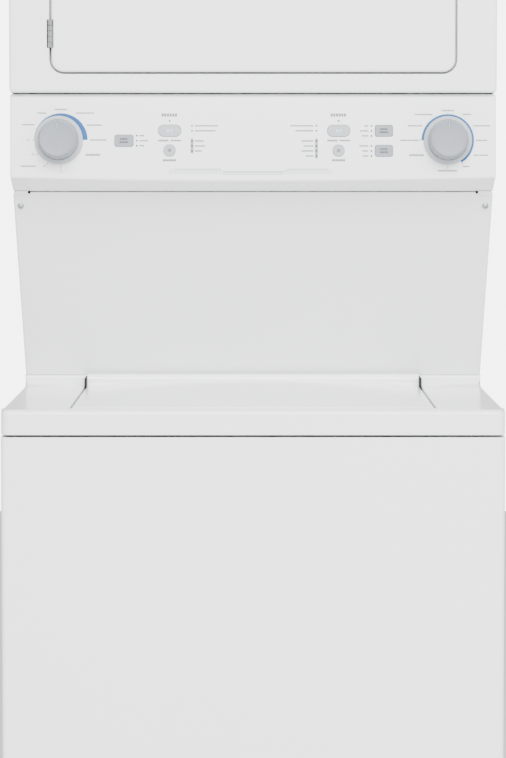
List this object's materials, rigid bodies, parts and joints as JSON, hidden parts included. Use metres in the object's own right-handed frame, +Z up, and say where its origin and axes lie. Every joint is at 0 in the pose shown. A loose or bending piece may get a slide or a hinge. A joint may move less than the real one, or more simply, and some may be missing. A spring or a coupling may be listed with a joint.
{
  "type": "washer dryer stack",
  "caption": "Stacked laundry centre: top-loading washer with a crowned lid under a front-loading dryer, a knob and button console between them over a slanted neck panel.",
  "frame": {"origin": "on the floor, under the middle of the object's box", "axes": "+Z up, -Y towards the user in front, +X to the user's right"},
  "size_m": [0.686, 0.8, 1.924],
  "materials": {
    "painted": "gloss white enamel on sheet steel",
    "console_plastic": "fine-textured white ABS",
    "knob_plastic": "satin grey ABS",
    "button_grey": "satin grey ABS",
    "button_light": "satin light grey ABS",
    "tub_plastic": "moulded polypropylene",
    "grey_plastic": "moulded grey plastic",
    "stainless": "stainless steel",
    "zinc": "zinc-plated sheet",
    "cast_aluminium": "die-cast",
    "rubber": "black rubber"
  },
  "bodies": {
    "chassis": {"washer_front_panel": "painted", "washer_cabinet": "painted", "washer_top_deck": "painted", "neck_panel": "painted", "neck_frame": "painted", "dryer_cabinet": "painted", "dryer_front_panel": "painted", "dryer_rear_panel": "painted", "console": "console_plastic", "outer_tub": "tub_plastic", "water_inlet_valve": "grey_plastic", "drain_pump": "grey_plastic", "dryer_door_catch": "grey_plastic", "hinge_lower_panel_leaf": "stainless", "hinge_upper_panel_leaf": "stainless", "washer_base_pan": "zinc", "suspension_dome": "zinc", "lid_hinge_rod": "zinc", "dryer_base_pan": "zinc", "console_mounting_plate": "zinc", "front_bulkhead": "zinc", "blower_housing": "zinc", "lint_duct": "zinc", "exhaust_duct": "zinc", "heater_housing": "zinc", "transmission": "cast_aluminium", "washer_motor": "cast_aluminium", "dryer_motor": "cast_aluminium", "washer_belt": "rubber", "dryer_belt": "rubber", "power_inlet_gland": "rubber", "leveling_foot_front_left": "rubber", "leveling_foot_front_right": "rubber", "leveling_foot_rear_left": "rubber", "leveling_foot_rear_right": "rubber"},
    "washer_lid": {"washer_lid": "painted"},
    "dryer_door": {"dryer_door_skin": "painted", "dryer_door_grip": "grey_plastic", "dryer_door_liner": "painted", "dryer_door_seal": "rubber", "hinge_lower_door_leaf": "stainless", "hinge_upper_door_leaf": "stainless"},
    "basket": {"wash_basket": "stainless", "balance_ring": "tub_plastic"},
    "agitator_and_shaft": {"agitator": "tub_plastic", "drive_shaft_and_pulley": "cast_aluminium"},
    "washer_rotor": {"washer_motor_pulley": "zinc"},
    "drum": {"dryer_drum": "painted"},
    "dryer_rotor": {"dryer_motor_pulley": "zinc", "blower_wheel": "tub_plastic"},
    "lint_screen": {"lint_filter": "tub_plastic"},
    "dryer_knob": {"dryer_knob": "knob_plastic"},
    "washer_knob": {"washer_knob": "knob_plastic"},
    "dryer_temperature_button": {"dryer_temperature_button": "button_grey"},
    "dryer_start_button": {"dryer_start_button": "button_light"},
    "dryer_cancel_button": {"dryer_cancel_button": "button_light"},
    "washer_start_button": {"washer_start_button": "button_light"},
    "washer_cancel_button": {"washer_cancel_button": "button_light"},
    "wash_temperature_button": {"wash_temperature_button": "button_grey"},
    "load_size_button": {"load_size_button": "button_grey"}
  },
  "joints": [
    {"name": "washer_lid_hinge", "type": "hinge", "parent": "chassis", "child": "washer_lid", "pos_m": [0, 0.011, 0.974], "axis": [-1, 0, 0], "range_deg": [0, 50]},
    {"name": "dryer_door_hinge", "type": "hinge", "parent": "chassis", "child": "dryer_door", "pos_m": [-0.285, -0.24, 1.6], "axis": [0, 0, -1], "range_deg": [0, 165]},
    {"name": "basket_spin", "type": "hinge", "parent": "chassis", "child": "basket", "pos_m": [0, -0.07, 0.6], "axis": [0, 0, 1], "continuous": true},
    {"name": "agitator_turn", "type": "hinge", "parent": "chassis", "child": "agitator_and_shaft", "pos_m": [0, -0.07, 0.6], "axis": [0, 0, 1], "continuous": true},
    {"name": "washer_motor_turn", "type": "hinge", "parent": "chassis", "child": "washer_rotor", "pos_m": [0.15, 0.165, 0.14], "axis": [0, 0, 1], "continuous": true},
    {"name": "drum_turn", "type": "hinge", "parent": "chassis", "child": "drum", "pos_m": [0, 0, 1.605], "axis": [0, 1, 0], "continuous": true},
    {"name": "dryer_motor_turn", "type": "hinge", "parent": "chassis", "child": "dryer_rotor", "pos_m": [0.235, 0, 1.335], "axis": [0, 1, 0], "continuous": true},
    {"name": "lint_screen_slide", "type": "slide", "parent": "chassis", "child": "lint_screen", "axis": [0, 0, 1], "range_m": [0, 0.075]},
    {"name": "dryer_knob_turn", "type": "hinge", "parent": "chassis", "child": "dryer_knob", "pos_m": [-0.274, -0.23242, 1.332], "axis": [0, 0.9976, -0.0698], "continuous": true},
    {"name": "washer_knob_turn", "type": "hinge", "parent": "chassis", "child": "washer_knob", "pos_m": [0.2748, -0.23245, 1.3315], "axis": [0, 0.9976, -0.0698], "continuous": true},
    {"name": "dryer_temperature_button_press", "type": "slide", "parent": "chassis", "child": "dryer_temperature_button", "axis": [0, 0.9976, -0.0698], "range_m": [0, 0.0015], "stiffness_N_per_m": 600, "springref_m": -0.0005},
    {"name": "dryer_start_button_press", "type": "slide", "parent": "chassis", "child": "dryer_start_button", "axis": [0, 0.9976, -0.0698], "range_m": [0, 0.0015], "stiffness_N_per_m": 600, "springref_m": -0.0005},
    {"name": "dryer_cancel_button_press", "type": "slide", "parent": "chassis", "child": "dryer_cancel_button", "axis": [0, 0.9976, -0.0698], "range_m": [0, 0.0015], "stiffness_N_per_m": 600, "springref_m": -0.0005},
    {"name": "washer_start_button_press", "type": "slide", "parent": "chassis", "child": "washer_start_button", "axis": [0, 0.9976, -0.0698], "range_m": [0, 0.0015], "stiffness_N_per_m": 600, "springref_m": -0.0005},
    {"name": "washer_cancel_button_press", "type": "slide", "parent": "chassis", "child": "washer_cancel_button", "axis": [0, 0.9976, -0.0698], "range_m": [0, 0.0015], "stiffness_N_per_m": 600, "springref_m": -0.0005},
    {"name": "wash_temperature_button_press", "type": "slide", "parent": "chassis", "child": "wash_temperature_button", "axis": [0, 0.9976, -0.0698], "range_m": [0, 0.0015], "stiffness_N_per_m": 600, "springref_m": -0.0005},
    {"name": "load_size_button_press", "type": "slide", "parent": "chassis", "child": "load_size_button", "axis": [0, 0.9976, -0.0698], "range_m": [0, 0.0015], "stiffness_N_per_m": 600, "springref_m": -0.0005}
  ],
  "couplings": [
    {"joint": "washer_motor_turn", "follows": "agitator_turn", "ratio": 3.4},
    {"joint": "dryer_motor_turn", "follows": "drum_turn", "ratio": 24.583}
  ]
}
